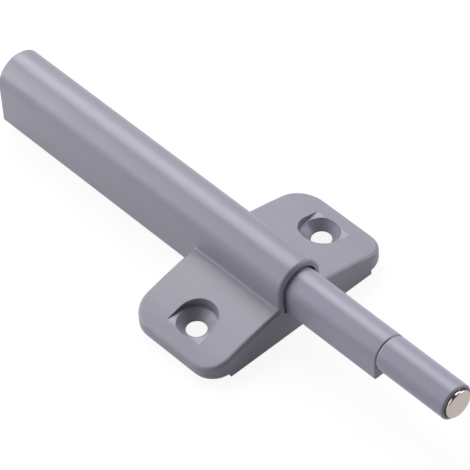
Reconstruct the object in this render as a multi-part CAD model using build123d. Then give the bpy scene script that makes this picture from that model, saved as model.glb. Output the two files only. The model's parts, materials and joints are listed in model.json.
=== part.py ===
from build123d import *
import os
from math import asin, cos, pi, sin, sqrt

# Push-open cupboard latch: a sprung push rod with a magnetic tip, in a housing that is
# screwed on by two wings.
#
# Frame: millimetres. The origin is midway between the two screw holes, on the plane that
# the wings are screwed down to. +Z leaves that plane. The magnet points along -Y, and the
# tube's closed end lies along +Y. The rod is drawn fully out, as it stands when the door
# is open.

# Driving sizes of the screw-on wings
hole_pitch = 32.0
wing_half_span = 22.75
wing_front = 11.45
wing_rear = 12.05
wing_front_corner_radius = 4.8
wing_rear_corner_radius = 5.5
wing_height_inner = 7.6
wing_height_outer = 3.3
wing_crown = 0.37
wing_wall = 1.8
wing_rib = 1.25
rim_radius = 0.75
foot_rounding = 1.5
tube_blend = 0.8

# Driving sizes of the screw seats
screw_hole_diameter = 4.1
screw_head_diameter = 7.6
seat_height = 4.4
seat_recess_radius = 4.4
seat_floor = 1.95
seat_boss_wall = 1.8

# Driving sizes of the tube
tube_radius = 5.2
tube_axis_height = 11.05
tube_underside = 2.05
tube_rear = 68.65
rear_wall = 1.8
rear_edge = 0.4
mouth_rounding = 0.9
core_depth = 1.8
core_rib = 1.2
core_count = 5

# Driving sizes of the push rod
rod_radius = 3.74
rod_keel_height = 6.5
rod_keel_rounding = 0.2
rod_out = 23.5
rod_inside = 38.5
rod_travel = 38.0
rod_clearance = 0.35
rod_chamfer = 0.2

# Driving sizes of the magnet and its tip
tip_radius = 3.7
tip_length = 16.9
tip_seam = 0.05
tip_edge = 0.3
thread_radius = 2.3
thread_length = 11.0
thread_chamfer = 0.4
thread_clearance = 0.1
thread_run_out = 0.5
magnet_radius = 2.95
magnet_thickness = 3.0
magnet_proud = 0.7
magnet_edge = 0.3
magnet_clearance = 0.15

# Driving sizes of the return spring
spring_wire = 0.45
spring_coil_radius = 2.05
spring_clearance = 0.25
spring_bore_depth = 46.0
spring_turns = 24
spring_wire_sides = 4
spring_turn_steps = 10
guide_length = 3.0

# Driving sizes of the follower pin and its leaf
pin_radius = 0.6
pin_clearance = 0.2
pin_fit = 0.1
pin_arm = 13.0
pin_bend = 0.8
pin_pivot_y = -5.0
leaf_thickness = 0.3
leaf_bow = 0.35
leaf_grip = 1.0
leaf_ledge = 0.5
leaf_clearance = 0.1

# Driving sizes of the heart track
track_offset = 1.9
track_depth = 1.2
heart_length = 9.4
heart_notch = 1.1
heart_far_notch = 0.65
tooth_height = 1.5
tooth_lead = 0.25

# Places that follow from the sizes above
wing_middle_y = (wing_rear - wing_front) / 2
rod_front = -wing_front - rod_out
rod_rear = -wing_front + rod_inside
tip_rear = rod_front - tip_seam
tip_front = tip_rear - tip_length
pocket_radius = magnet_radius + magnet_clearance
pocket_depth = magnet_thickness - magnet_proud
bore_radius = rod_radius + rod_clearance
bore_floor = rod_keel_height - rod_clearance
bore_rear = tube_rear - rear_wall
spring_bore_radius = spring_coil_radius + spring_wire / 2 + spring_clearance
spring_guide_radius = spring_coil_radius - spring_wire / 2 - spring_clearance
spring_seat = rod_rear - spring_bore_depth

lane_width = 2 * (pin_radius + pin_clearance)
track_half_width = track_offset + lane_width / 2
follower_y = pin_pivot_y + pin_arm
follower_swing = asin(2 * track_offset / pin_arm)
follower_drop_back = pin_arm * (1 - cos(follower_swing))
pocket_length = follower_drop_back + lane_width
track_rear = follower_y + lane_width / 2
track_front = track_rear - rod_travel - pocket_length
heart_half_width = track_half_width - lane_width
heart_front = follower_y - rod_travel + 2 * pin_radius + pin_clearance + heart_notch
heart_rear = heart_front + heart_length

leaf_width = 2 * track_half_width
leaf_low = tube_underside + leaf_ledge
leaf_crown = leaf_low + leaf_thickness + leaf_bow
pin_arm_height = leaf_crown + leaf_clearance + pin_radius
slot_ceiling = pin_arm_height + pin_radius + pin_fit
slot_front = pin_pivot_y - pin_radius - pin_clearance
slot_rear = follower_y + pin_radius + pin_clearance
slot_middle = (slot_front + slot_rear) / 2
slot_length = slot_rear - slot_front

# How near an edge lies to an outline when it counts as on it
on_line = 0.05


def along_y(section, y_front, y_rear):
    """Run a section, drawn with X across and Z up, from one Y to another."""
    return extrude(Plane.XZ.offset(-y_rear) * section, amount=y_rear - y_front)


def up_from(section, low, high):
    """Raise a section, drawn in plan, from one height to another."""
    return extrude(Plane.XY.offset(low) * section, amount=high - low)


def arched_section(radius, flat_height):
    """Round top on straight sides, with a flat underside."""
    arch = Pos(0, tube_axis_height) * Circle(radius)
    sides = Pos(0, (tube_axis_height + flat_height) / 2) * Rectangle(
        2 * radius, tube_axis_height - flat_height
    )
    return arch + sides


def keel_section(radius, flat_height):
    """Arched section with its two lower corners rounded."""
    section = arched_section(radius, flat_height)
    return fillet(section.vertices().group_by(Axis.Y)[0], rod_keel_rounding)


def wing_top(x):
    """Height of the wings' upper face at a distance from the tube's axis."""
    share = (x - tube_radius) / (wing_half_span - tube_radius)
    straight = wing_height_inner + (wing_height_outer - wing_height_inner) * share
    return straight + 4 * wing_crown * share * (1 - share)


def wing_section(drop):
    """Section through both wings and the floor between them, lowered by a wall."""
    stations = (tube_radius, (tube_radius + wing_half_span) / 2, wing_half_span)
    right = ThreePointArc(*[(x, wing_top(x) - drop) for x in stations])
    left = ThreePointArc(*[(-x, wing_top(x) - drop) for x in reversed(stations)])
    bridge = Line(left @ 1, right @ 0)
    foot = Polyline(right @ 1, (wing_half_span, 0), (-wing_half_span, 0), left @ 0)
    return make_face([left, bridge, right, foot])


def wing_plan(inset):
    """Plan of both wings, brought in by a wall."""
    plan = Pos(0, wing_middle_y) * Rectangle(
        2 * (wing_half_span - inset), wing_front + wing_rear - 2 * inset
    )
    plan = fillet(plan.vertices().group_by(Axis.Y)[0], wing_front_corner_radius - inset)
    return fillet(plan.vertices().group_by(Axis.Y)[-1], wing_rear_corner_radius - inset)


def on_outline(edge):
    """Whether an edge lies on the wings' outer walls, seen in plan."""
    inner = wing_plan(on_line).face()
    places = [edge @ share for share in (0.25, 0.5, 0.75)]
    return not any(inner.is_inside(Vector(place.X, place.Y, 0)) for place in places)


def wing_block():
    """Both wings with the tube's arch over them, solid, with every outer edge rounded.

    The foot is rounded round the sides and corners, and stays sharp along the straight front.
    """
    section = wing_section(0) + arched_section(tube_radius, 0)
    hollows = section.vertices().filter_by(
        lambda v: abs(abs(v.X) - tube_radius) < on_line and 0 < v.Y < tube_axis_height - on_line
    )
    section = fillet(hollows, tube_blend)
    high = 2 * tube_axis_height
    block = along_y(section, -wing_front, wing_rear) & up_from(wing_plan(0), 0, high)
    rim = block.edges().filter_by(lambda e: e.bounding_box().min.Z > on_line and on_outline(e))
    block = fillet(rim.filter_by(Axis.Z, reverse=True), rim_radius)
    block = fillet(block.edges().group_by(Axis.Z)[0], foot_rounding)
    lip = Pos(0, -wing_front + foot_rounding / 2, foot_rounding / 2) * Box(
        2 * (wing_half_span - wing_front_corner_radius), foot_rounding, foot_rounding
    )
    return block + lip


def tube_outside():
    """The long tube, solid, with its closed end chamfered and its mouth rounded over."""
    section = arched_section(tube_radius, tube_underside)
    tube = along_y(section, -wing_front, tube_rear)
    tube = chamfer(tube.faces().sort_by(Axis.Y)[-1].edges(), rear_edge)
    mouth = tube.faces().sort_by(Axis.Y)[0].edges()
    return fillet(mouth.filter_by(lambda e: e.center().Z > tube_underside + on_line), mouth_rounding)


def rod_bore():
    """The rod's bore, open at the mouth and closed at the rear."""
    return along_y(keel_section(bore_radius, bore_floor), -wing_front, bore_rear)


def screw_seat():
    """What a screw takes out of its wing: a recess open outwards, the head's cone and the hole."""
    recess = Circle(seat_recess_radius) + Pos(wing_half_span / 2, 0) * Rectangle(
        wing_half_span, 2 * seat_recess_radius
    )
    cone_height = (screw_head_diameter - screw_hole_diameter) / 2
    cone = Pos(0, 0, seat_height - cone_height / 2) * Cone(
        screw_hole_diameter / 2, screw_head_diameter / 2, cone_height
    )
    hole = up_from(Circle(screw_hole_diameter / 2), 0, seat_height)
    return up_from(recess, seat_height, wing_height_inner) + cone + hole


def wing_hollows():
    """Cored underside of the wings: even walls, a rib each side of the screws, and their seats."""
    high = 2 * tube_axis_height
    inside = along_y(wing_section(wing_wall), -wing_front, wing_rear)
    inside &= up_from(wing_plan(wing_wall), 0, high)
    inside -= up_from(Pos(0, wing_middle_y) * Rectangle(2 * tube_radius, wing_front + wing_rear), 0, high)
    rib = Rectangle(2 * wing_half_span, wing_rib)
    rib_y = seat_recess_radius + wing_rib / 2
    boss = Circle(seat_recess_radius + seat_boss_wall)
    for side in (-1, 1):
        inside -= up_from(Pos(0, side * rib_y) * rib, 0, high)
        inside -= up_from(Pos(side * hole_pitch / 2, 0) * boss, seat_height - seat_floor, high)
    return inside


def tube_cores():
    """Pockets that core out the thick floor: one between the wings and a row behind them."""
    between = Rectangle(2 * bore_radius, wing_front + wing_rear - 2 * wing_wall)
    cores = up_from(Pos(0, wing_middle_y) * between, 0, tube_underside)
    row_front = wing_rear + core_rib
    pitch = (bore_rear - row_front) / core_count
    core = Rectangle(2 * bore_radius - core_rib, pitch - core_rib)
    for i in range(core_count):
        y = row_front + (i + 0.5) * pitch
        cores += up_from(Pos(0, y) * core, tube_underside, tube_underside + core_depth)
    return cores


def pin_slot():
    """Slot in the floor for the pin and its leaf, the pin's pivot hole and the window to the track."""
    through = bore_floor + on_line
    slot = Rectangle(leaf_width + 2 * leaf_clearance, slot_length)
    grip = Rectangle(leaf_width + 2 * leaf_clearance, slot_length + 2 * leaf_grip)
    window = Pos(0, track_rear - pocket_length / 2) * Rectangle(2 * track_half_width, pocket_length)
    pivot = Pos(-track_offset, pin_pivot_y) * Circle(pin_radius + pin_fit)
    cut = up_from(Pos(0, slot_middle) * slot, tube_underside - on_line, slot_ceiling)
    cut += up_from(
        Pos(0, slot_middle) * grip,
        leaf_low - leaf_clearance,
        leaf_low + leaf_thickness + leaf_clearance,
    )
    return cut + up_from(window, leaf_low, through) + up_from(pivot, leaf_low, through)


def spring_guide():
    """Peg on the tube's rear wall that keeps the return spring on the axis."""
    peg = Pos(0, tube_axis_height) * Circle(spring_guide_radius)
    return along_y(peg, bore_rear - guide_length, bore_rear)


def mounting_housing():
    """Tube and wings, moulded as one piece."""
    body = wing_block() + tube_outside() - rod_bore() - wing_hollows() - tube_cores() - pin_slot()
    for turn in (0, 180):
        body -= Rot(0, 0, turn) * Pos(hole_pitch / 2, 0, 0) * screw_seat()
    return body + spring_guide()


def heart_track():
    """Plan of the track under the rod, open wherever the follower runs.

    A straight lane leads from the rear pocket to the front. There the follower goes round the
    heart: the tooth sends it into the notch, where it holds the rod in, and then past the notch
    to the far lane, which leads it back.
    """
    lane = Pos(-track_offset, (track_front + track_rear) / 2) * Rectangle(
        lane_width, track_rear - track_front
    )
    pocket = Pos(0, track_rear - pocket_length / 2) * Rectangle(2 * track_half_width, pocket_length)
    merge = heart_rear + sqrt(2) * lane_width
    field = Polyline(
        (-track_half_width, track_front),
        (track_half_width, track_front),
        (track_half_width, merge - track_half_width - heart_half_width),
        (-heart_half_width, merge),
        (-track_half_width, merge),
        close=True,
    )
    heart = Polyline(
        (-heart_half_width, heart_front - heart_notch),
        (0, heart_front),
        (heart_half_width, heart_front - heart_far_notch),
        (heart_half_width, heart_rear - 2 * heart_half_width),
        (-heart_half_width, heart_rear),
        close=True,
    )
    tooth = Polyline(
        (-heart_half_width, track_front),
        (heart_half_width, track_front),
        (-tooth_lead, track_front + tooth_height),
        close=True,
    )
    return lane + pocket + make_face(field) - make_face(heart) - make_face(tooth)


def push_rod():
    """Arched rod, hollow behind for the spring, tapped in front, with the heart track below."""
    rod = along_y(keel_section(rod_radius, rod_keel_height), rod_front, rod_rear)
    ends = rod.faces().sort_by(Axis.Y)
    rod = chamfer(ends[0].edges() + ends[-1].edges(), rod_chamfer)
    spring_bore = Pos(0, tube_axis_height) * Circle(spring_bore_radius)
    tapped_hole = Pos(0, tube_axis_height) * Circle(thread_radius + thread_clearance)
    rod -= along_y(spring_bore, spring_seat, rod_rear)
    rod -= along_y(tapped_hole, rod_front, rod_front + thread_length + thread_run_out)
    return rod - up_from(heart_track(), rod_keel_height, rod_keel_height + track_depth)


def magnet_tip():
    """Round tip: its spigot screws into the rod, and its front pocket holds the magnet."""
    profile = Polyline(
        (0, -thread_length),
        (thread_radius - thread_chamfer, -thread_length),
        (thread_radius, -thread_length + thread_chamfer),
        (thread_radius, 0),
        (tip_radius - rod_chamfer, 0),
        (tip_radius, rod_chamfer),
        (tip_radius, tip_length - tip_edge),
        (tip_radius - tip_edge, tip_length),
        (pocket_radius, tip_length),
        (pocket_radius, tip_length - pocket_depth),
        (0, tip_length - pocket_depth),
        close=True,
    )
    tip = revolve(Plane.XZ * make_face(profile), Axis.Z)
    return Pos(0, tip_rear, tube_axis_height) * Rot(90, 0, 0) * tip


def magnet():
    """Disc magnet, proud of the tip, with both rims chamfered."""
    disc = Cylinder(magnet_radius, magnet_thickness)
    disc = chamfer(disc.edges().filter_by(GeomType.CIRCLE), magnet_edge)
    middle = tip_front - magnet_proud + magnet_thickness / 2
    return Pos(0, middle, tube_axis_height) * Rot(90, 0, 0) * disc


def return_spring():
    """Compression spring between the seat in the rod's bore and the tube's rear wall.

    Each turn is drawn in short straight steps, and the wire with a few flat sides.
    """
    length = bore_rear - spring_seat - spring_wire
    steps = spring_turns * spring_turn_steps
    corners = []
    for i in range(steps + 1):
        turn = 2 * pi * i / spring_turn_steps
        corners.append(
            (spring_coil_radius * cos(turn), spring_coil_radius * sin(turn), length * i / steps)
        )
    path = Polyline(*corners)
    wire = Plane(origin=path @ 0, z_dir=path % 0) * RegularPolygon(spring_wire / 2, spring_wire_sides)
    coil = sweep(wire, path=path, transition=Transition.RIGHT)
    return Pos(0, spring_seat + spring_wire / 2, tube_axis_height) * Rot(-90, 0, 0) * coil


def follower_pin():
    """Bent wire: a pivot leg in the floor, an arm along the slot and a leg up into the track."""
    route = FilletPolyline(
        (-track_offset, pin_pivot_y, bore_floor - pin_fit),
        (-track_offset, pin_pivot_y, pin_arm_height),
        (-track_offset, follower_y, pin_arm_height),
        (-track_offset, follower_y, rod_keel_height + track_depth - pin_clearance),
        radius=pin_bend,
    )
    wire = Plane(origin=route @ 0, z_dir=route % 0) * Circle(pin_radius)
    return sweep(wire, path=route)


def follower_leaf():
    """Bowed strip whose ends sit in the slot's ends and whose crown bears up the pin."""
    half = slot_length / 2 + leaf_grip - leaf_clearance
    lower = ThreePointArc((-half, leaf_low), (0, leaf_low + leaf_bow), (half, leaf_low))
    upper = Pos(0, leaf_thickness) * lower
    outline = [lower, Line(lower @ 1, upper @ 1), upper, Line(upper @ 0, lower @ 0)]
    strip = extrude(Plane.YZ.offset(-leaf_width / 2) * make_face(outline), amount=leaf_width)
    return Pos(0, slot_middle, 0) * strip


pieces = {
    "mounting_housing": mounting_housing,
    "push_rod": push_rod,
    "magnet_tip": magnet_tip,
    "magnet": magnet,
    "return_spring": return_spring,
    "follower_pin": follower_pin,
    "follower_leaf": follower_leaf,
}

os.makedirs("parts", exist_ok=True)
for name, make in pieces.items():
    solid = make()
    solid.label = name
    export_step(solid, os.path.join("parts", name + ".step"))
    print(name, round(solid.volume, 1))
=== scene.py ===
"""Finishes a push-open cupboard latch and lights it on a pale studio floor.

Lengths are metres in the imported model's frame: +Z leaves the plane that the wings are
screwed down to, the magnet faces -Y, and the rod slides along Y. What can be read from the
model is read from it.
"""

import json
from math import cos, pi, radians, sin

import bmesh
import bpy
from mathutils import Matrix, Vector


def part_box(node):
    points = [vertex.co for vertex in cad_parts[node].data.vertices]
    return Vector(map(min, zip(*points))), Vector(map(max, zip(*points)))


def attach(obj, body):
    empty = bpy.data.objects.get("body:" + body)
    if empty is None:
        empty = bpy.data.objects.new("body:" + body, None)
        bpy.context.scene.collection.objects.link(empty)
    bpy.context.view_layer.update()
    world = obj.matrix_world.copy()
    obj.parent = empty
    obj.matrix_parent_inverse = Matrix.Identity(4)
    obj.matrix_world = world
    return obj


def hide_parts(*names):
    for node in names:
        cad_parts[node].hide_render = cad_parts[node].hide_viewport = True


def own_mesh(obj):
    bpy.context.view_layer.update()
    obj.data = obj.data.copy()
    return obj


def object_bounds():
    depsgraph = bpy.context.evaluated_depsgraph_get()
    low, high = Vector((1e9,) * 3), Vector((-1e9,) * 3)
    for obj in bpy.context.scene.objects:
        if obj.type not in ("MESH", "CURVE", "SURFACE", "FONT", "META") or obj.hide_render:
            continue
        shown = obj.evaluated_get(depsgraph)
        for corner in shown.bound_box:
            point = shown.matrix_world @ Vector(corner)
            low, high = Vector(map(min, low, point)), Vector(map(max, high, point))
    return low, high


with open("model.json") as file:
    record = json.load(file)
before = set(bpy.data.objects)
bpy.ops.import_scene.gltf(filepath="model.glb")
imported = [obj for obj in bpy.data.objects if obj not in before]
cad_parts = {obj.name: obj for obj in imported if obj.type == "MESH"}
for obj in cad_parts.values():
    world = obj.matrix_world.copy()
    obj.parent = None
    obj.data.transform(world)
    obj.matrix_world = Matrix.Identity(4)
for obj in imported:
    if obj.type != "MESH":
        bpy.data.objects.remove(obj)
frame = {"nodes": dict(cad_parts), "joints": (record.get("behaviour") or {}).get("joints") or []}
cad_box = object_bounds()

bl_info = {
    "name": "Push-open cupboard latch",
    "version": (1, 0, 0),
    "blender": (4, 5, 0),
    "location": "3D View > Sidebar > Latch",
    "description": "Finishes the pieces of a magnetic push latch and lights them",
    "category": "Object",
}

MM = 0.001

# The camera that matches the photograph's view, in a square image
image_pixels = 470
focal_pixels = 3568.4
view_azimuth = radians(-39.619)
view_elevation = radians(46.766)
view_roll = radians(-4.304)
view_distance = 669.62 * MM
view_slide_right = -4.76 * MM
view_slide_up = 10.81 * MM

# What a length in the render comes to, for patterns that are too fine to show
pixel_size = view_distance / focal_pixels

# Faces that meet at more than this stay sharp
sharp_angle = radians(35)

# Moulded plastic: width of the flow lines, how many times longer they are, and how far the
# tone and the roughness drift with them
flow_width = 3.5 * MM
flow_stretch = 8
tone_drift = 0.03
gloss_drift = 0.03
wave_depth = 0.1 * MM

# Nickel: width and depth of the tumbling marks, and the roughness between and on them
mark_width = 1.8 * MM
mark_depth = 0.0008 * MM
mark_gloss = (0.06, 0.18)

# Spring steel: spacing of the drawn lines, how many times longer they are, and their roughness
line_spacing = 0.12 * MM
line_stretch = 12.5
line_gloss = (0.25, 0.45)

# Strength of the floor's plain white, a little over 1 to make up for the object's shade
floor_white = 1.14

# Backdrop: its top and the start of the dim ceiling, as the height of a view's direction, and
# how much light mirrors get from that ceiling
backdrop_top = 0.1
ceiling_start = 0.2
ceiling_level = 0.08


def linear(code):
    """Linear colour, with alpha, of an sRGB hex value."""
    levels = [int(code[i : i + 2], 16) / 255 for i in (1, 3, 5)]
    return [v / 12.92 if v <= 0.04045 else ((v + 0.055) / 1.055) ** 2.4 for v in levels] + [1.0]


def length(name, description, default):
    """A length that a user may change."""
    return bpy.props.FloatProperty(
        name=name, description=description, default=default, min=0.0, precision=5, unit="LENGTH"
    )


def colour(name, description, code):
    """A colour that a user may change."""
    return bpy.props.FloatVectorProperty(
        name=name,
        description=description,
        default=linear(code),
        size=4,
        min=0.0,
        max=1.0,
        subtype="COLOR",
    )


class LatchSizes(bpy.types.PropertyGroup):
    """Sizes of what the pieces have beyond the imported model."""

    nose_rounding: length("Nose rounding", "Radius of the tip's outer front edge", 0.35 * MM)
    magnet_rim: length("Magnet rim", "Radius of the magnet's tumbled rims", 0.3 * MM)
    thread_pitch: length("Thread pitch", "Pitch of the tip's coarse thread", 1.25 * MM)
    thread_depth: length("Thread depth", "Height of the thread over its core", 0.42 * MM)
    edge_radius: length("Moulded edge", "Radius that the mould leaves on sharp edges", 0.1 * MM)
    spring_wire: length("Spring wire", "Diameter of the return spring's wire", 0.45 * MM)
    spring_turns: bpy.props.IntProperty(
        name="Spring turns", description="All turns of the return spring", default=24, min=6
    )


class LatchColours(bpy.types.PropertyGroup):
    """Colours of the finishes."""

    housing: colour("Housing", "Moulded ABS of the housing", "#93929F")
    rod: colour("Rod and tip", "Moulded acetal of the rod and its tip", "#9D9AAB")
    nickel: colour("Nickel", "Nickel plate of the magnet", "#CDBFBA")
    steel: colour("Steel", "Drawn and rolled spring steel", "#B4B2AE")


class LatchStudio(bpy.types.PropertyGroup):
    """Floor and light."""

    floor_width: length("Floor", "Width of the square floor", 6.0)
    lamp_level: bpy.props.FloatProperty(
        name="Lamp level", description="Multiplies every lamp", default=1.0, min=0.0
    )
    room: colour("Room", "Dim cool light from all round", "#9CA8D2")
    room_level: bpy.props.FloatProperty(
        name="Room level", description="Strength of the light from all round", default=0.05, min=0.0
    )
    whitening: bpy.props.FloatProperty(
        name="Whitening",
        description="Share of plain white in the floor where it is seen",
        default=0.8,
        min=0.0,
        max=1.0,
        subtype="FACTOR",
    )
    mirrored: bpy.props.FloatProperty(
        name="Mirrored",
        description="Share of that plain white that shiny surfaces mirror",
        default=0.6,
        min=0.0,
        max=1.0,
        subtype="FACTOR",
    )
    floor: colour("Floor", "Matt paper of the floor", "#C6C6CA")


class LatchSettings(bpy.types.PropertyGroup):
    """Everything that a user may change."""

    sizes: bpy.props.PointerProperty(type=LatchSizes)
    colours: bpy.props.PointerProperty(type=LatchColours)
    studio: bpy.props.PointerProperty(type=LatchStudio)


def settings():
    """The latch's settings in the open scene."""
    return bpy.context.scene.latch


# Nodes


def add_node(tree, kind, sockets, **modes):
    """Add a node, set its modes, and fill or link its sockets."""
    node = tree.nodes.new(kind)
    for name, value in modes.items():
        setattr(node, name, value)
    for name, value in sockets.items():
        if isinstance(value, bpy.types.NodeSocket):
            tree.links.new(value, node.inputs[name])
        else:
            node.inputs[name].default_value = value
    return node


def new_material(name):
    """Empty node material and its tree."""
    material = bpy.data.materials.new(name)
    material.use_nodes = True
    material.node_tree.nodes.clear()
    return material, material.node_tree


def moulded_plastic(name, tint, roughness, ior, grit, grit_depth):
    """Injection-moulded plastic: fine grit off the tool, faint flow lines and shallow waves."""
    material, tree = new_material(name)
    place = add_node(tree, "ShaderNodeTexCoord", {}).outputs["Object"]
    # Melt fills the mould along the latch, and so its lines run along it.
    along = add_node(
        tree, "ShaderNodeMapping", {"Vector": place, "Scale": (1.0, 1 / flow_stretch, 1.0)}
    )
    flow = add_node(
        tree,
        "ShaderNodeTexNoise",
        {
            "Vector": along.outputs["Vector"],
            "Scale": 1 / flow_width,
            "Detail": 3.0,
            "Roughness": 0.55,
        },
    )
    tone = add_node(
        tree,
        "ShaderNodeMapRange",
        {
            "Value": flow.outputs["Fac"],
            "From Min": 0.3,
            "From Max": 0.7,
            "To Min": 1 - tone_drift,
            "To Max": 1 + tone_drift,
        },
    )
    tinted = add_node(
        tree,
        "ShaderNodeVectorMath",
        {0: tint[:3], "Scale": tone.outputs["Result"]},
        operation="SCALE",
    )
    gloss = add_node(
        tree,
        "ShaderNodeMapRange",
        {
            "Value": flow.outputs["Fac"],
            "From Min": 0.3,
            "From Max": 0.7,
            "To Min": roughness - gloss_drift,
            "To Max": roughness + gloss_drift,
        },
    )
    grain = add_node(
        tree,
        "ShaderNodeTexNoise",
        {"Vector": place, "Scale": 1 / grit, "Detail": 2.0, "Roughness": 0.6},
    )
    edges = add_node(
        tree, "ShaderNodeBevel", {"Radius": settings().sizes.edge_radius}, samples=6
    )
    # Shrinking leaves waves about 0.05 mm deep; drawn deeper, because finer doesn't show.
    waves = add_node(
        tree,
        "ShaderNodeBump",
        {
            "Strength": 1.0,
            "Distance": wave_depth,
            "Height": flow.outputs["Fac"],
            "Normal": edges.outputs["Normal"],
        },
    )
    bumps = add_node(
        tree,
        "ShaderNodeBump",
        {
            "Strength": 1.0,
            "Distance": grit_depth,
            "Height": grain.outputs["Fac"],
            "Normal": waves.outputs["Normal"],
        },
    )
    surface = add_node(
        tree,
        "ShaderNodeBsdfPrincipled",
        {
            "Base Color": tinted.outputs["Vector"],
            "Roughness": gloss.outputs["Result"],
            "IOR": ior,
            "Normal": bumps.outputs["Normal"],
        },
    )
    add_node(tree, "ShaderNodeOutputMaterial", {"Surface": surface.outputs["BSDF"]})
    return material


def satin_abs():
    """ABS off a spark-eroded tool: the eye gets a soft, wide highlight with no sparkle."""
    # The tool's grit is about 0.03 mm; drawn two pixels wide, because finer doesn't show.
    return moulded_plastic(
        "satin_abs", settings().colours.housing, 0.36, 1.54, 2 * pixel_size, 0.002 * MM
    )


def satin_acetal():
    """Acetal off a finer tool: slippery and a little closer to gloss than the housing."""
    # The tool's grit is about 0.02 mm; drawn two pixels wide, because finer doesn't show.
    return moulded_plastic(
        "satin_acetal", settings().colours.rod, 0.32, 1.48, 2 * pixel_size, 0.0012 * MM
    )


def bright_nickel():
    """Nickel plate on a tumbled magnet: a warm mirror, clouded a little by tumbling marks."""
    material, tree = new_material("bright_nickel")
    place = add_node(tree, "ShaderNodeTexCoord", {}).outputs["Object"]
    clouds = add_node(
        tree,
        "ShaderNodeTexNoise",
        {"Vector": place, "Scale": 1 / mark_width, "Detail": 4.0, "Roughness": 0.6},
    )
    gloss = add_node(
        tree,
        "ShaderNodeMapRange",
        {"Value": clouds.outputs["Fac"], "To Min": mark_gloss[0], "To Max": mark_gloss[1]},
    )
    dents = add_node(
        tree,
        "ShaderNodeBump",
        {"Strength": 0.5, "Distance": mark_depth, "Height": clouds.outputs["Fac"]},
    )
    surface = add_node(
        tree,
        "ShaderNodeBsdfPrincipled",
        {
            "Base Color": settings().colours.nickel,
            "Metallic": 1.0,
            "Roughness": gloss.outputs["Result"],
            "Normal": dents.outputs["Normal"],
        },
    )
    add_node(tree, "ShaderNodeOutputMaterial", {"Surface": surface.outputs["BSDF"]})
    return material


def drawn_spring_steel():
    """Spring steel off the die and the rolls: fine lines along the metal streak its shine."""
    material, tree = new_material("drawn_spring_steel")
    place = add_node(tree, "ShaderNodeTexCoord", {}).outputs["Object"]
    # Die lines are about 0.01 mm apart; drawn wider apart, because finer doesn't show.
    stretched = add_node(
        tree, "ShaderNodeMapping", {"Vector": place, "Scale": (1.0, 1 / line_stretch, 1.0)}
    )
    lines = add_node(
        tree,
        "ShaderNodeTexNoise",
        {
            "Vector": stretched.outputs["Vector"],
            "Scale": 1 / line_spacing,
            "Detail": 2.0,
            "Roughness": 0.5,
        },
    )
    gloss = add_node(
        tree,
        "ShaderNodeMapRange",
        {"Value": lines.outputs["Fac"], "To Min": line_gloss[0], "To Max": line_gloss[1]},
    )
    surface = add_node(
        tree,
        "ShaderNodeBsdfPrincipled",
        {
            "Base Color": settings().colours.steel,
            "Metallic": 1.0,
            "Roughness": gloss.outputs["Result"],
        },
    )
    add_node(tree, "ShaderNodeOutputMaterial", {"Surface": surface.outputs["BSDF"]})
    return material


FINISHES = {
    "satin_abs": satin_abs,
    "satin_acetal": satin_acetal,
    "bright_nickel": bright_nickel,
    "drawn_spring_steel": drawn_spring_steel,
}


def finish(piece, name):
    """Give a piece one of the finishes, made when it is first asked for."""
    material = bpy.data.materials.get(name) or FINISHES[name]()
    if piece.data.materials:
        for i in range(len(piece.data.materials)):
            piece.data.materials[i] = material
    else:
        piece.data.materials.append(material)


# Meshes


def rod_axis_height():
    """Height of the line that the rod slides along."""
    low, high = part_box("magnet")
    return (low.z + high.z) / 2


def round_corner(centre, radius, start, end, steps):
    """Points of an arc in a profile, with angles in degrees from the radial direction."""
    turns = [radians(start + (end - start) * i / steps) for i in range(steps + 1)]
    return [(centre[0] + radius * cos(t), centre[1] + radius * sin(t)) for t in turns]


def lathe(mesh, profile, sides):
    """Turn a profile of (radius, y) points about the rod's axis into a closed skin."""
    height = rod_axis_height()
    rings = []
    for radius, y in profile:
        count = sides if radius > 0 else 1
        turns = [2 * pi * i / sides for i in range(count)]
        rings.append(
            [mesh.verts.new((radius * cos(t), y, height + radius * sin(t))) for t in turns]
        )
    for near, far in zip(rings, rings[1:]):
        for i in range(sides):
            corners = [near[i % len(near)], near[(i + 1) % len(near)]]
            corners += [far[(i + 1) % len(far)], far[i % len(far)]]
            mesh.faces.new(dict.fromkeys(corners))


def sweep(mesh, rings):
    """Skin rings of equal size, one after another, and close both ends."""
    rows = [[mesh.verts.new(point) for point in ring] for ring in rings]
    count = len(rows[0])
    for near, far in zip(rows, rows[1:]):
        for i in range(count):
            mesh.faces.new((near[i], near[(i + 1) % count], far[(i + 1) % count], far[i]))
    mesh.faces.new(rows[0])
    mesh.faces.new(reversed(rows[-1]))


def add_piece(name, mesh, body, material):
    """Make a smooth-shaded piece of a mesh, that rides on a body."""
    bmesh.ops.recalc_face_normals(mesh, faces=mesh.faces)
    data = bpy.data.meshes.new(name)
    mesh.to_mesh(data)
    mesh.free()
    data.shade_smooth()
    data.set_sharp_from_angle(angle=sharp_angle)
    piece = bpy.data.objects.new(name, data)
    bpy.context.scene.collection.objects.link(piece)
    weights = piece.modifiers.new("flat_faces_first", "WEIGHTED_NORMAL")
    weights.keep_sharp = True
    finish(piece, material)
    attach(piece, body)
    return piece


class LATCH_OT_housing(bpy.types.Operator):
    """Finish the moulded housing"""

    bl_idname = "latch.housing"
    bl_label = "Housing"
    bl_options = {"REGISTER", "UNDO"}

    def execute(self, context):
        finish(frame["nodes"]["mounting_housing"], "satin_abs")
        return {"FINISHED"}


class LATCH_OT_push_rod(bpy.types.Operator):
    """Finish the push rod"""

    bl_idname = "latch.push_rod"
    bl_label = "Push rod"
    bl_options = {"REGISTER", "UNDO"}

    def execute(self, context):
        finish(frame["nodes"]["push_rod"], "satin_acetal")
        return {"FINISHED"}


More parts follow.
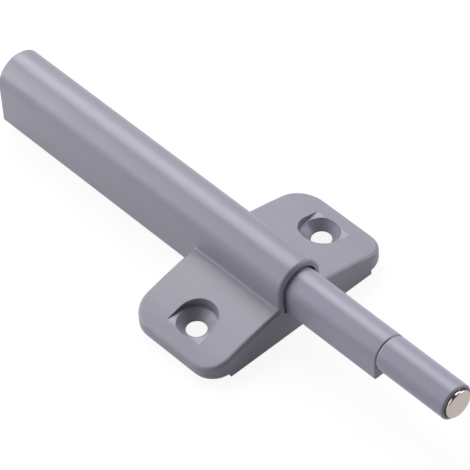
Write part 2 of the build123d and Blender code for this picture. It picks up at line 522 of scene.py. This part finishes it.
class LATCH_OT_magnet_tip(bpy.types.Operator):
    """Turn the tip, with its magnet pocket and the thread of its spigot"""

    bl_idname = "latch.magnet_tip"
    bl_label = "Magnet tip"
    bl_options = {"REGISTER", "UNDO"}

    shoulder = 11.0 * MM
    shoulder_slope = 0.45 * MM
    shoulder_drop = 0.18 * MM
    spigot_radius = 2.3 * MM
    pocket_radius = 3.1 * MM
    pocket_depth = 2.3 * MM
    sides = 96
    nose_steps = 6
    thread_steps = 48

    # The thread's ridge: half its foot and half its crest as shares of the pitch, and how deep
    # its foot is let into the core as a share of its height
    foot_share = 0.42
    crest_share = 0.12
    let_in = 0.1

    def execute(self, context):
        sizes = settings().sizes
        low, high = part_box("magnet_tip")
        radius = (high.x - low.x) / 2
        rear = high.y - self.shoulder
        core = self.spigot_radius - sizes.thread_depth
        shoulder = [(radius - self.shoulder_drop, rear), (radius, rear - self.shoulder_slope)]
        rounding = sizes.nose_rounding
        centre = (radius - rounding, low.y + rounding)
        nose = round_corner(centre, rounding, 0, -90, self.nose_steps)
        profile = [
            (0, high.y),
            (core - sizes.thread_depth, high.y),
            (core, high.y - sizes.thread_depth),
            (core, rear),
            *shoulder,
            *nose,
            (self.pocket_radius, low.y),
            (self.pocket_radius, low.y + self.pocket_depth),
            (0, low.y + self.pocket_depth),
        ]
        mesh = bmesh.new()
        lathe(mesh, profile, self.sides)
        sweep(mesh, self.thread(rear, high.y, core))
        piece = add_piece("turned_magnet_tip", mesh, "tip", "satin_acetal")
        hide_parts("magnet_tip")
        return {"FINISHED"}

    def thread(self, start, end, core):
        """Rings of the ridge, which rises and dies away over a quarter turn at each end."""
        sizes = settings().sizes
        turns = (end - start) / sizes.thread_pitch - 2
        height = rod_axis_height()
        foot = core - self.let_in * sizes.thread_depth
        half_foot = self.foot_share * sizes.thread_pitch
        half_crest = self.crest_share * sizes.thread_pitch
        rings = []
        for i in range(int(turns * self.thread_steps) + 1):
            at = i / self.thread_steps
            y = start + sizes.thread_pitch * (1 + at)
            crest = core + min(1.0, 4 * at, 4 * (turns - at)) * sizes.thread_depth
            section = (
                (foot, -half_foot),
                (crest, -half_crest),
                (crest, half_crest),
                (foot, half_foot),
            )
            turn = 2 * pi * at
            rings.append([(r * cos(turn), y + dy, height + r * sin(turn)) for r, dy in section])
        return rings


class LATCH_OT_magnet(bpy.types.Operator):
    """Turn the disc magnet with its rounded rims"""

    bl_idname = "latch.magnet"
    bl_label = "Magnet"
    bl_options = {"REGISTER", "UNDO"}

    sides = 96
    rim_steps = 8

    def execute(self, context):
        low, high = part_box("magnet")
        radius = (high.x - low.x) / 2
        rim = settings().sizes.magnet_rim
        profile = [
            (0, high.y),
            *round_corner((radius - rim, high.y - rim), rim, 90, 0, self.rim_steps),
            *round_corner((radius - rim, low.y + rim), rim, 0, -90, self.rim_steps),
            (0, low.y),
        ]
        mesh = bmesh.new()
        lathe(mesh, profile, self.sides)
        piece = add_piece("plated_magnet", mesh, "tip", "bright_nickel")
        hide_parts("magnet")
        return {"FINISHED"}


class LATCH_OT_return_spring(bpy.types.Operator):
    """Wind the return spring with closed ends, to be squeezed as the rod goes in"""

    bl_idname = "latch.return_spring"
    bl_label = "Return spring"
    bl_options = {"REGISTER", "UNDO"}

    steps = 24
    wire_sides = 8
    closed_turns = 1.5

    def execute(self, context):
        sizes = settings().sizes
        low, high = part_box("return_spring")
        push = next(joint for joint in frame["joints"] if joint["name"] == "rod_push")
        rear = push["deforming_nodes"][0]["fixed_end_y_m"]
        mesh = bmesh.new()
        sweep(mesh, self.coil(low.y, rear, (high.x - low.x - sizes.spring_wire) / 2))
        piece = add_piece(
            "wound_return_spring", mesh, "housing", "drawn_spring_steel"
        )
        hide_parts("return_spring")
        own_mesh(piece)
        return {"FINISHED"}

    def coil(self, front, rear, radius):
        """Rings of the wire, with its first and last turns lying on each other."""
        sizes = settings().sizes
        wire = sizes.spring_wire
        height = rod_axis_height()
        turns = sizes.spring_turns
        closed = self.closed_turns * wire
        open_length = rear - front - wire - 2 * closed
        stations = [
            (0, 0),
            (self.closed_turns, closed),
            (turns - self.closed_turns, closed + open_length),
            (turns, 2 * closed + open_length),
        ]
        rings = []
        for i in range(turns * self.steps + 1):
            at = i / self.steps
            start, end = next((a, b) for a, b in zip(stations, stations[1:]) if at <= b[0])
            slope = (end[1] - start[1]) / (end[0] - start[0])
            along = front + wire / 2 + start[1] + slope * (at - start[0])
            turn = 2 * pi * at
            outward = Vector((cos(turn), 0, sin(turn)))
            forward = Vector((-2 * pi * radius * sin(turn), slope, 2 * pi * radius * cos(turn)))
            across = outward.cross(forward.normalized())
            centre = Vector((0, along, height)) + radius * outward
            ring = []
            for k in range(self.wire_sides):
                angle = 2 * pi * k / self.wire_sides
                ring.append(centre + wire / 2 * (cos(angle) * outward + sin(angle) * across))
            rings.append(ring)
        return rings


class LATCH_OT_follower(bpy.types.Operator):
    """Finish the follower pin and its leaf"""

    bl_idname = "latch.follower"
    bl_label = "Follower pin and leaf"
    bl_options = {"REGISTER", "UNDO"}

    def execute(self, context):
        for name in ("follower_pin", "follower_leaf"):
            finish(frame["nodes"][name], "drawn_spring_steel")
        return {"FINISHED"}


# Stage

# Soft boxes: name, azimuth and elevation in degrees, distance and width in metres, watts.
# Azimuth 0 is in front of the magnet, 90 beyond the right wing, 180 behind the closed end.
SOFT_BOXES = (
    ("back_key", 155, 52, 1.2, 0.7, 8.0),
    ("right_back", 110, 52, 1.2, 0.7, 1.9),
    ("right_back_low", 135, 30, 1.2, 0.7, 2.6),
    ("left_back", 225, 30, 1.2, 1.1, 5.5),
    ("left_back_low", 225, 11, 1.2, 0.4, 1.5),
    ("left_side", 270, 30, 1.2, 0.7, 1.0),
    ("right_front", 60, 25, 1.2, 0.7, 5.2),
    ("rear_near", 205, 22, 0.24, 0.15, 0.15),
)


def from_angles(azimuth, elevation):
    """Unit vector towards a place in the room."""
    return Vector(
        (sin(azimuth) * cos(elevation), -cos(azimuth) * cos(elevation), sin(elevation))
    )


def seen_rays(tree, mirrored):
    """1 for rays seen straight or through glass, and what is given for mirrored ones."""
    path = add_node(tree, "ShaderNodeLightPath", {})
    in_mirrors = add_node(
        tree,
        "ShaderNodeMath",
        {0: path.outputs["Is Glossy Ray"], 1: mirrored},
        operation="MULTIPLY",
    )
    straight = add_node(
        tree,
        "ShaderNodeMath",
        {0: path.outputs["Is Camera Ray"], 1: path.outputs["Is Transmission Ray"]},
        operation="MAXIMUM",
    )
    return add_node(
        tree,
        "ShaderNodeMath",
        {0: straight.outputs["Value"], 1: in_mirrors.outputs["Value"]},
        operation="MAXIMUM",
    ).outputs["Value"]


class LATCH_OT_stage(bpy.types.Operator):
    """Lay the floor, set the lamps and the camera"""

    bl_idname = "latch.stage"
    bl_label = "Stage"
    bl_options = {"REGISTER", "UNDO"}

    def execute(self, context):
        self.lay_floor()
        self.set_world(context.scene)
        middle = (cad_box[0] + cad_box[1]) / 2
        for lamp in SOFT_BOXES:
            self.hang_lamp(middle, *lamp)
        self.set_camera(context.scene)
        context.scene.view_settings.view_transform = "Standard"
        return {"FINISHED"}

    def lay_floor(self):
        """Matt white paper, mixed with plain white where it is seen, so its shadow is faint."""
        studio = settings().studio
        half = studio.floor_width / 2
        data = bpy.data.meshes.new("floor")
        corners = [(-half, -half, 0), (half, -half, 0), (half, half, 0), (-half, half, 0)]
        data.from_pydata(corners, [], [(0, 1, 2, 3)])
        floor = bpy.data.objects.new("floor", data)
        bpy.context.scene.collection.objects.link(floor)
        material, tree = new_material("matt_white_paper")
        paper = add_node(tree, "ShaderNodeBsdfDiffuse", {"Color": studio.floor})
        white = add_node(tree, "ShaderNodeEmission", {"Strength": floor_white})
        share = add_node(
            tree,
            "ShaderNodeMath",
            {0: seen_rays(tree, studio.mirrored), 1: studio.whitening},
            operation="MULTIPLY",
        )
        mixed = add_node(
            tree,
            "ShaderNodeMixShader",
            {0: share.outputs["Value"], 1: paper.outputs["BSDF"], 2: white.outputs["Emission"]},
        )
        add_node(tree, "ShaderNodeOutputMaterial", {"Surface": mixed.outputs["Shader"]})
        data.materials.append(material)

    def set_world(self, scene):
        """White backdrop round the horizon where it is seen, and a dim room for its light.

        The ceiling stays dim in reflections, which gives the nickel something darker to mirror.
        """
        studio = settings().studio
        world = bpy.data.worlds.new("studio")
        world.use_nodes = True
        tree = world.node_tree
        tree.nodes.clear()
        direction = add_node(tree, "ShaderNodeTexCoord", {}).outputs["Generated"]
        height = add_node(tree, "ShaderNodeSeparateXYZ", {"Vector": direction}).outputs["Z"]
        backdrop = add_node(
            tree,
            "ShaderNodeMapRange",
            {
                "Value": height,
                "From Min": backdrop_top,
                "From Max": ceiling_start,
                "To Min": 1.0,
                "To Max": ceiling_level,
            },
        )
        seen = seen_rays(tree, backdrop.outputs["Result"])
        level = add_node(
            tree,
            "ShaderNodeMapRange",
            {"Value": seen, "To Min": studio.room_level, "To Max": 1.0},
        )
        # Among this node's sockets, 6 and 7 are the two colours, and 2 is the mixed one.
        hue = add_node(
            tree,
            "ShaderNodeMix",
            {"Factor": seen, 6: studio.room, 7: linear("#FFFFFF")},
            data_type="RGBA",
        )
        dome = add_node(
            tree,
            "ShaderNodeBackground",
            {"Color": hue.outputs[2], "Strength": level.outputs["Result"]},
        )
        add_node(tree, "ShaderNodeOutputWorld", {"Surface": dome.outputs["Background"]})
        scene.world = world

    def hang_lamp(self, middle, name, azimuth, elevation, distance, width, watts):
        """Square soft box that faces the latch."""
        data = bpy.data.lights.new(name, "AREA")
        data.size = width
        data.energy = watts * settings().studio.lamp_level
        lamp = bpy.data.objects.new(name, data)
        towards = from_angles(radians(azimuth), radians(elevation))
        lamp.location = middle + distance * towards
        lamp.rotation_euler = (-towards).to_track_quat("-Z", "Y").to_euler()
        bpy.context.scene.collection.objects.link(lamp)

    def set_camera(self, scene):
        """Long lens from above, turned a little about its own axis."""
        back = from_angles(view_azimuth, view_elevation)
        level = Vector((0, 0, 1)).cross(back).normalized()
        upright = back.cross(level)
        right = cos(view_roll) * level + sin(view_roll) * upright
        up = cos(view_roll) * upright - sin(view_roll) * level
        data = bpy.data.cameras.new("camera")
        data.lens = data.sensor_width * focal_pixels / image_pixels
        camera = bpy.data.objects.new("camera", data)
        camera.matrix_world = Matrix((right, up, back)).transposed().to_4x4()
        camera.location = view_distance * back + view_slide_right * right + view_slide_up * up
        scene.collection.objects.link(camera)
        scene.camera = camera


class LATCH_PT_panel(bpy.types.Panel):
    """Lists the steps and the values that they use"""

    bl_label = "Push-open latch"
    bl_space_type = "VIEW_3D"
    bl_region_type = "UI"
    bl_category = "Latch"

    def draw(self, context):
        for operator in OPERATORS:
            self.layout.operator(operator.bl_idname)
        for group in (settings().sizes, settings().colours, settings().studio):
            box = self.layout.box()
            for name in group.__annotations__:
                box.prop(group, name)


OPERATORS = (
    LATCH_OT_housing,
    LATCH_OT_push_rod,
    LATCH_OT_magnet_tip,
    LATCH_OT_magnet,
    LATCH_OT_return_spring,
    LATCH_OT_follower,
    LATCH_OT_stage,
)
CLASSES = (LatchSizes, LatchColours, LatchStudio, LatchSettings, *OPERATORS, LATCH_PT_panel)


def register():
    """Add the classes and the scene's settings."""
    for cls in CLASSES:
        bpy.utils.register_class(cls)
    bpy.types.Scene.latch = bpy.props.PointerProperty(type=LatchSettings)


def unregister():
    """Take the settings and the classes away again."""
    del bpy.types.Scene.latch
    for cls in reversed(CLASSES):
        bpy.utils.unregister_class(cls)


def main():
    """Build everything in order."""
    register()
    for step in (
        bpy.ops.latch.housing,
        bpy.ops.latch.push_rod,
        bpy.ops.latch.magnet_tip,
        bpy.ops.latch.magnet,
        bpy.ops.latch.return_spring,
        bpy.ops.latch.follower,
        bpy.ops.latch.stage,
    ):
        step()


if __name__ == "__main__":
    main()
